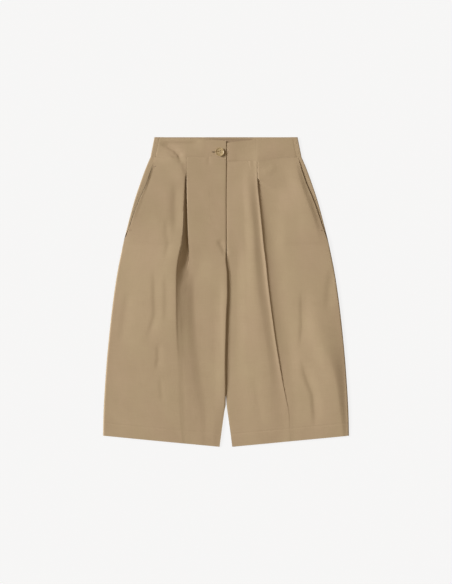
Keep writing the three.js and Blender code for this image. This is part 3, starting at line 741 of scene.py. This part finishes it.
down = np.linspace(0, BAND_HEIGHT, 24)
fold = band_half(down) - BAND_CLOTH / 2 - BAND_FOLD
seam = band_half(down) - BAND_STRIP
stroke = Stroke(-seam, FRONT_BAND_Z + 0 * down, math.pi)
for t in np.linspace(0, 1, 6)[1:]:
    stroke.to(t * (seam - fold) - seam, FRONT_BAND_Z)
stroke.arc(BAND_FOLD, math.pi * np.ones(len(down)))
for t in np.linspace(0, 1, 81)[1:]:
    stroke.to(-fold + 2 * t * fold, BAND_Z)
stroke.arc(BAND_FOLD, math.pi * np.ones(len(down)))
for t in np.linspace(0, 1, 6)[1:]:
    stroke.to(fold + t * (seam - fold), FRONT_BAND_Z)
out, z = stroke.grid()
rolled = smooth((70 - np.abs(out)) / 40) * smooth((FRONT_BAND_Z - z) / 1.5)
z = z + 1.2 * rolled * np.exp(-((down[:, None] / 3.2) ** 2))
y = waist_y - down[:, None] + 0 * out
back_band = shell("back_waistband", out, y, z, BAND_CLOTH)
dress(back_band, band_cloth, "waistband_back")
# Painted shade: where the inside of the back band shows between its top edge and the fronts' top edge,
# it takes a darker copy of the band cloth. This stands for the shade in that recess. Only upward faces
# within 62 mm of the middle and more than 3.5 mm below the top get it.
inside = plain_weave("band inside in painted shade", (0.36, 0.262, 0.172), (0.31, 0.222, 0.144))
back_band.data.materials.append(inside)
for face in back_band.data.polygons:
    x, y, _ = face.center / MM
    face.material_index = int(abs(x) < 62 and y < waist_y - 3.5 and face.normal.z > 0.5)


def front_top(side, out):
    """Height of the top of a front at its waist seam. The band lies level over the pleat's mouth."""
    over, z, _ = front_section(side, np.array([46.0]))
    shows = np.concatenate([[True], np.diff(np.maximum.accumulate(over[0])) > 0])
    grid = np.arange(-60, 200, 0.25)
    height = np.interp(grid, over[0][shows], z[0][shows])
    height = np.max([np.roll(height, k) for k in range(-10, 11)], axis=0)
    height = np.min([np.roll(height, k) for k in range(-10, 11)], axis=0)
    return np.interp(out, grid, height)


def side_seam(down):
    """Distance out of the seam between a front band and the strip of the back band beside it."""
    return band_half(down) - BAND_STRIP - SEWN


def level(out):
    """Height of a side band, which lies level with the forward strip of the back band."""
    return FRONT_BAND_Z + 0 * out


def lap(out):
    """Height of the right centre band, which rises on to the underlap."""
    return FRONT_BAND_Z + (LAP_Z - FRONT_BAND_Z) * (1 - smooth((out - 47) / 30))


def under(out):
    """Height of the left centre band, which rises a little where it comes out from under the lap."""
    return FRONT_BAND_Z + 1.0 * smooth((out + 2) / 5) * (1 - smooth((out - 8) / 40))


PLEAT_SEAM = {-1: (88, 0), 1: (68, 0.12)}
BANDS = (
    ("right_centre", -1, 0, PLEAT_SEAM[-1][0], lap),
    ("right_side", -1, PLEAT_SEAM[-1][0] + SEWN, None, level),
    ("left_centre", 1, -UNDERLAP, PLEAT_SEAM[1][0], under),
    ("left_side", 1, PLEAT_SEAM[1][0] + SEWN, None, level),
)
for word, side, first, last, height in BANDS:
    t = np.linspace(0, 1, 30)[:, None]
    across = np.linspace(0, 1, 60)[None, :]
    edge = side_seam(t * BAND_HEIGHT)
    out = first + ((edge if last is None else last) - first) * across + 0 * t
    dip = WAIST_DIP[side] * (1 - np.clip(out / 150, 0, 1)) ** 1.5
    down = dip + (waist_seam(side, out) - dip) * t
    y = waist_y - down
    low = np.maximum(front_top(side, out) + (CLOTH - BAND_CLOTH) / 2 + 0.1, height(out))
    z = height(out) + (low - height(out)) * smooth(t * 1.1) * smooth((out + 4) / 4)
    z = z + creases(side * out, down) * smooth((out + 4) / 10)
    seam_out, seam_depth = PLEAT_SEAM[side]
    z = z - seam_depth * np.exp(-(((out - seam_out) / GROOVE) ** 2))
    z = z - waist_groove(side, out) * np.exp(-(((waist_seam(side, out) - down) / GROOVE) ** 2))
    z = z - 0.35 * np.exp(-(((edge - out) / GROOVE) ** 2))
    band = shell(f"waistband_{word}_cloth", side * out, y, z, BAND_CLOTH)
    dress(band, band_cloth, f"waistband_{word}")

# ------------------------------------------------------- the button, its buttonhole and the stitches
# A four-hole horn button, dished inside its rim, is sewn to the left end of the band on a wrapped
# shank of thread. The right end has a horizontal buttonhole, whose edges are whipped with thread.
# The same thread shows as the fly's curved row of stitches and the bars at the pocket mouths.
BUTTON_ACROSS = 20
BUTTON_THICK = 3
BUTTON_AT = (-14, waist_y - 33.5, 8.3)
BUTTON_RIM = 1.5
DISH = 0.8
WELL = 0.25
HOLE_OUT = 2.2
HOLE_RADIUS = 0.75
BUTTONHOLE = 18
BAR_WIDTH = 2.2
SHANK_RADIUS = 0.75
SHANK_FOOT = 3.95
THREAD = 0.19


def pick(piece, test):
    """Goes into edit mode with only the faces selected whose middle passes a test."""
    bpy.ops.object.mode_set(mode="EDIT")
    bpy.ops.mesh.select_mode(type="FACE")
    bpy.ops.mesh.select_all(action="DESELECT")
    bpy.ops.object.mode_set(mode="OBJECT")
    for face in piece.data.polygons:
        face.select = bool(test(face.center / MM))
    bpy.ops.object.mode_set(mode="EDIT")


def cut_away(piece, tools):
    """Cuts other pieces out of a piece and removes them."""
    for tool in tools:
        cut = piece.modifiers.new("cut", "BOOLEAN")
        cut.operation = "DIFFERENCE"
        cut.object = tool
        cut.solver = "EXACT"
        bpy.context.view_layer.objects.active = piece
        bpy.ops.object.modifier_apply(modifier="cut")
        bpy.data.objects.remove(tool)


bpy.ops.object.select_all(action="DESELECT")
bpy.ops.mesh.primitive_cylinder_add(vertices=72, radius=BUTTON_ACROSS / 2 * MM, depth=BUTTON_THICK * MM)
horn_button = bpy.context.object
horn_button.name = "horn_button"
pick(horn_button, lambda at: at.z > 0.4 * BUTTON_THICK)
bpy.ops.mesh.inset(thickness=BUTTON_RIM * MM)
bpy.ops.mesh.inset(thickness=0.9 * MM)
bpy.ops.transform.translate(value=(0, 0, -DISH * MM))
bpy.ops.mesh.inset(thickness=2.2 * MM)
bpy.ops.transform.translate(value=(0, 0, -WELL * MM))
bpy.ops.mesh.inset(thickness=3 * MM)
pick(horn_button, lambda at: at.z < -0.4 * BUTTON_THICK)
bpy.ops.transform.resize(value=(0.82, 0.82, 1))
bpy.ops.object.mode_set(mode="OBJECT")
rounding = horn_button.modifiers.new("rounding", "BEVEL")
rounding.width = 0.45 * MM
rounding.segments = 3
rounding.limit_method = "ANGLE"
rounding.angle_limit = math.radians(24)
bpy.ops.object.modifier_apply(modifier="rounding")
drills = []
for x in (-HOLE_OUT, HOLE_OUT):
    for y in (-HOLE_OUT, HOLE_OUT):
        bpy.ops.mesh.primitive_cylinder_add(
            vertices=20, radius=HOLE_RADIUS * MM, depth=0.01, location=(x * MM, y * MM, 0)
        )
        drills.append(bpy.context.object)
cut_away(horn_button, drills)
bpy.ops.object.select_all(action="DESELECT")
horn_button.select_set(True)
bpy.context.view_layer.objects.active = horn_button
horn_button.rotation_euler = (math.radians(-2), math.radians(3.5), math.radians(12))
horn_button.location = [c * MM for c in BUTTON_AT]
bpy.ops.object.transform_apply(location=True, rotation=True, scale=True)
bpy.ops.object.shade_smooth_by_angle(angle=math.radians(40))

horn = Finish("horn")
grain = horn.add("ShaderNodeTexCoord", None, output=3)
streaks = horn.add("ShaderNodeVectorMath", {"operation": "MULTIPLY"}, grain, (90, 420, 200))
streak = horn.add("ShaderNodeTexNoise", None, Vector=streaks, Scale=1.0, Detail=4.0, Distortion=0.8)
speck = horn.add("ShaderNodeTexNoise", None, Vector=grain, Scale=900.0, Detail=2.0)
pale_horn = horn.mix(speck, (0.43, 0.32, 0.165, 1), (0.56, 0.44, 0.255, 1))
horn.set(
    Base_Color=horn.mix((streak - 0.48) * 4.5, pale_horn, (0.2, 0.12, 0.05, 1)),
    Roughness=0.3 + speck * 0.12,
    Coat_Weight=0.25 + speck * 0.1,
    Specular_IOR_Level=0.5,
)
dress(horn_button, horn.material, "button")


def strand(points, across, radius=0.16, sides=6):
    """Corners and faces of a thread along points, given a direction square to its path."""
    points = np.array(points, float)
    across = np.broadcast_to(np.array(across, float), points.shape)
    forward = np.gradient(points, axis=0)
    forward = forward / np.linalg.norm(forward, axis=1)[:, None]
    up = np.cross(forward, across)
    turn = np.linspace(0, 2 * math.pi, sides, endpoint=False)[None, :, None]
    rings = points[:, None] + radius * (np.cos(turn) * across[:, None] + np.sin(turn) * up[:, None])
    last = (len(points) - 1) * sides
    faces = [tuple(range(sides)), tuple(range(last, last + sides))]
    for start in range(0, last, sides):
        for j in range(sides):
            k = (j + 1) % sides
            faces.append((start + j, start + k, start + sides + k, start + sides + j))
    return rings.reshape(-1, 3), faces


def threads(name, strands):
    """One piece made of many strands, with its normals outwards."""
    corners, faces = [], []
    for points, loops in strands:
        first = len(corners)
        corners.extend((points * MM).tolist())
        faces.extend(tuple(first + i for i in loop) for loop in loops)
    mesh = bpy.data.meshes.new(name)
    mesh.from_pydata(corners, [], faces)
    solid = bmesh.new()
    solid.from_mesh(mesh)
    bmesh.ops.recalc_face_normals(solid, faces=solid.faces)
    solid.to_mesh(mesh)
    solid.free()
    mesh.polygons.foreach_set("use_smooth", np.ones(len(mesh.polygons), bool))
    piece = bpy.data.objects.new(name, mesh)
    bpy.context.scene.collection.objects.link(piece)
    return piece


def thread_finish(name, light, dark):
    """Spun sewing thread, whose twist shows as a fine change of tone."""
    finish = Finish(name)
    place = finish.add("ShaderNodeTexCoord", None, output=3)
    twist = finish.add("ShaderNodeTexNoise", None, Vector=place, Scale=2600.0, Detail=2.0)
    finish.set(
        Base_Color=finish.mix(twist, (*dark, 1), (*light, 1)),
        Roughness=0.6 + twist * 0.2,
        Sheen_Weight=0.3,
        Specular_IOR_Level=0.3,
    )
    return finish.material


sewing_thread = thread_finish("sewing thread", (0.50, 0.38, 0.25), (0.36, 0.265, 0.16))

# Thread goes from hole to hole over the button, and is wound round below it.
sewn = []
x0, y0, z0 = BUTTON_AT
floor = z0 + BUTTON_THICK / 2 - DISH - WELL
for row in (-HOLE_OUT, HOLE_OUT):
    for beside in (-0.34, 0, 0.34):
        y = y0 + row + beside
        rise = 0.34 - abs(beside) * 0.3
        path = [
            (x0 - HOLE_OUT + 0.1, y, z0 - 0.6),
            (x0 - HOLE_OUT + 0.1, y, floor - 0.1),
            (x0 - HOLE_OUT + 0.5, y, floor + rise),
            (x0, y, floor + rise + 0.15),
            (x0 + HOLE_OUT - 0.5, y, floor + rise),
            (x0 + HOLE_OUT - 0.1, y, floor - 0.1),
            (x0 + HOLE_OUT - 0.1, y, z0 - 0.6),
        ]
        sewn.append(strand(path, (0, 1, 0), THREAD))
turns = np.linspace(0, 9 * 2 * math.pi, 110)
outwards = np.stack([np.cos(turns), np.sin(turns), 0 * turns], 1)
climb = (z0 - 1.6 - SHANK_FOOT) * turns / turns[-1]
winding = SHANK_RADIUS * outwards + (x0, y0, SHANK_FOOT)
winding[:, 2] += climb
sewn.append(strand(winding, outwards, 0.18))
shank = threads("button_thread", sewn)
dress(shank, sewing_thread, "button_shank")

# The buttonhole goes right through the right end of the band.
hole_left = x0 - BUTTONHOLE + BAR_WIDTH / 2
band_end = bpy.data.objects["waistband_right_centre_cloth"]
bpy.ops.mesh.primitive_cube_add(size=1, location=((x0 + hole_left) / 2 * MM, y0 * MM, 0.006))
slit = bpy.context.object
slit.scale = ((x0 - hole_left) * MM, 0.9 * MM, 0.01)
bpy.ops.object.select_all(action="DESELECT")
slit.select_set(True)
bpy.ops.object.transform_apply(location=False, rotation=False, scale=True)
cut_away(band_end, [slit])


def whip(along, side, z):
    """One whipping stitch, from inside the slit over its edge and into the cloth beside it."""
    path = [
        (along, y0 + side * 0.42, z - 1.2),
        (along, y0 + side * 0.5, z + 0.02),
        (along, y0 + side * 0.9, z + 0.16),
        (along, y0 + side * 1.5, z + 0.12),
        (along, y0 + side * 1.75, z - 0.25),
    ]
    return strand(path, (1, 0, 0), THREAD, 5)


band_top = LAP_Z + BAND_CLOTH / 2
whips = []
for side in (-1, 1):
    whips += [whip(along, side, band_top) for along in np.arange(hole_left, x0 + 1, 0.42)]
for across in np.linspace(-1.6, 1.6, 8):
    path = [
        (hole_left - 0.1, y0 + across, band_top - 0.4),
        (hole_left - 0.15, y0 + across, band_top + 0.15),
        (hole_left - 0.9, y0 + across, band_top + 0.15),
        (hole_left - 1.1, y0 + across, band_top - 0.3),
    ]
    whips.append(strand(path, (0, 1, 0), THREAD, 5))
buttonhole = threads("buttonhole_stitches", whips)
dress(buttonhole, sewing_thread)


def top_of(*pieces):
    """A function of x and y that gives the height of the upper side of some pieces."""
    corners, faces = [], []
    for piece in pieces:
        first = len(corners)
        corners += [corner.co for corner in piece.data.vertices]
        faces += [[first + i for i in face.vertices] for face in piece.data.polygons]
    tree = BVHTree.FromPolygons(corners, faces)

    def height(x, y):
        return tree.ray_cast((x * MM, y * MM, 0.05), (0, 0, -1))[0].z / MM

    return height


def running_stitches(height, path, long, gap, radius=0.17):
    """Stitches laid on the cloth along a path of (x, down), each one dipping in at its ends."""
    path = np.array(path, float)
    pieces = np.hypot(*np.diff(path, axis=0).T)
    start = np.concatenate([[0], np.cumsum(pieces)])
    strands = []
    for first in np.arange(0, start[-1] - long, long + gap):
        at = first + long * np.array([0, 0.12, 0.5, 0.88, 1])
        x = np.interp(at, start, path[:, 0])
        y = waist_y - np.interp(at, start, path[:, 1])
        lift = np.array([-0.2, 0.02, 0.08, 0.02, -0.2])
        points = [(a, b, height(a, b) + c) for a, b, c in zip(x, y, lift)]
        heading = np.array([x[-1] - x[0], y[-1] - y[0], 0])
        heading /= np.linalg.norm(heading)
        strands.append(strand(points, (heading[1], -heading[0], 0), radius, 5))
    return strands


right_front = bpy.data.objects["right_front_cloth"]
left_front = bpy.data.objects["left_front_cloth"]
turn = np.radians(np.linspace(0, 90, 12))
fly_path = [(-38, 55), (-38, 172), *zip(-2 - 36 * np.cos(turn), 172 + 34 * np.sin(turn))]
fly = threads("fly_stitches", running_stitches(top_of(right_front), fly_path, 2.3, 0.7, 0.13))
fly_thread = thread_finish("tonal thread", (0.455, 0.345, 0.228), (0.40, 0.30, 0.19))
dress(fly, fly_thread)

for side, front, word in ((-1, right_front, "right"), (1, left_front, "left")):
    height = top_of(front)
    bars = []
    for down in (66, 209):
        edge = read(outline, "half", down) - strip_width(side, down) - 2.6
        for x in side * np.arange(edge - 5.5, edge, 0.36):
            bars += running_stitches(height, [(x, down - 0.9), (x, down + 0.91)], 1.8, 1, 0.18)
    tack = threads(f"{word}_pocket_bars", bars)
    dress(tack, fly_thread)

# ------------------------------------------------------------------------------------ the stage
# A pale table, soft light from above and from the upper left, and a long lens straight above.
bpy.ops.mesh.primitive_plane_add(size=30, location=(0, 0, -0.0004))
table_top = bpy.context.object
table_top.name = "table_top"
pale = Finish("pale table")
pale.set(
    Base_Color=(0.09, 0.09, 0.09, 1),
    Roughness=0.9,
    Specular_IOR_Level=0.0,
    Emission_Color=(1, 1, 1, 1),
    Emission_Strength=0.84,
)
table_top.data.materials.append(pale.material)

bpy.context.scene.view_settings.view_transform = "Standard"
world = bpy.data.worlds.new("room")
world.use_nodes = True
world.node_tree.nodes["Background"].inputs["Color"].default_value = (1, 0.78, 0.54, 1)
world.node_tree.nodes["Background"].inputs["Strength"].default_value = 0.25
bpy.context.scene.world = world


def soft_light(name, place, strength, spread, colour):
    """A far lamp whose disc, as seen from the garment, is so many degrees across."""
    light = bpy.data.lights.new(name, "SUN")
    light.angle = math.radians(spread)
    light.energy = strength
    light.color = colour
    lamp = bpy.data.objects.new(name, light)
    bpy.context.scene.collection.objects.link(lamp)
    lamp.location = place
    lamp.rotation_euler = (-lamp.location).to_track_quat("-Z", "Y").to_euler()


soft_light("key light", (-2.1, 0.64, 1.22), 4.2, 20, (1.0, 1.005, 1.01))
soft_light("fill light", (1.8, 0.1, 1.4), 0.35, 20, (1.0, 0.95, 0.88))

CAMERA_HEIGHT = 3.2
VIEW_HEIGHT = 1.314
camera = bpy.data.cameras.new("camera")
camera.sensor_width = 36
camera.lens = 36 * CAMERA_HEIGHT / VIEW_HEIGHT
camera_object = bpy.data.objects.new("camera", camera)
bpy.context.scene.collection.objects.link(camera_object)
camera_object.location = (0, 0, CAMERA_HEIGHT)
bpy.context.scene.camera = camera_object
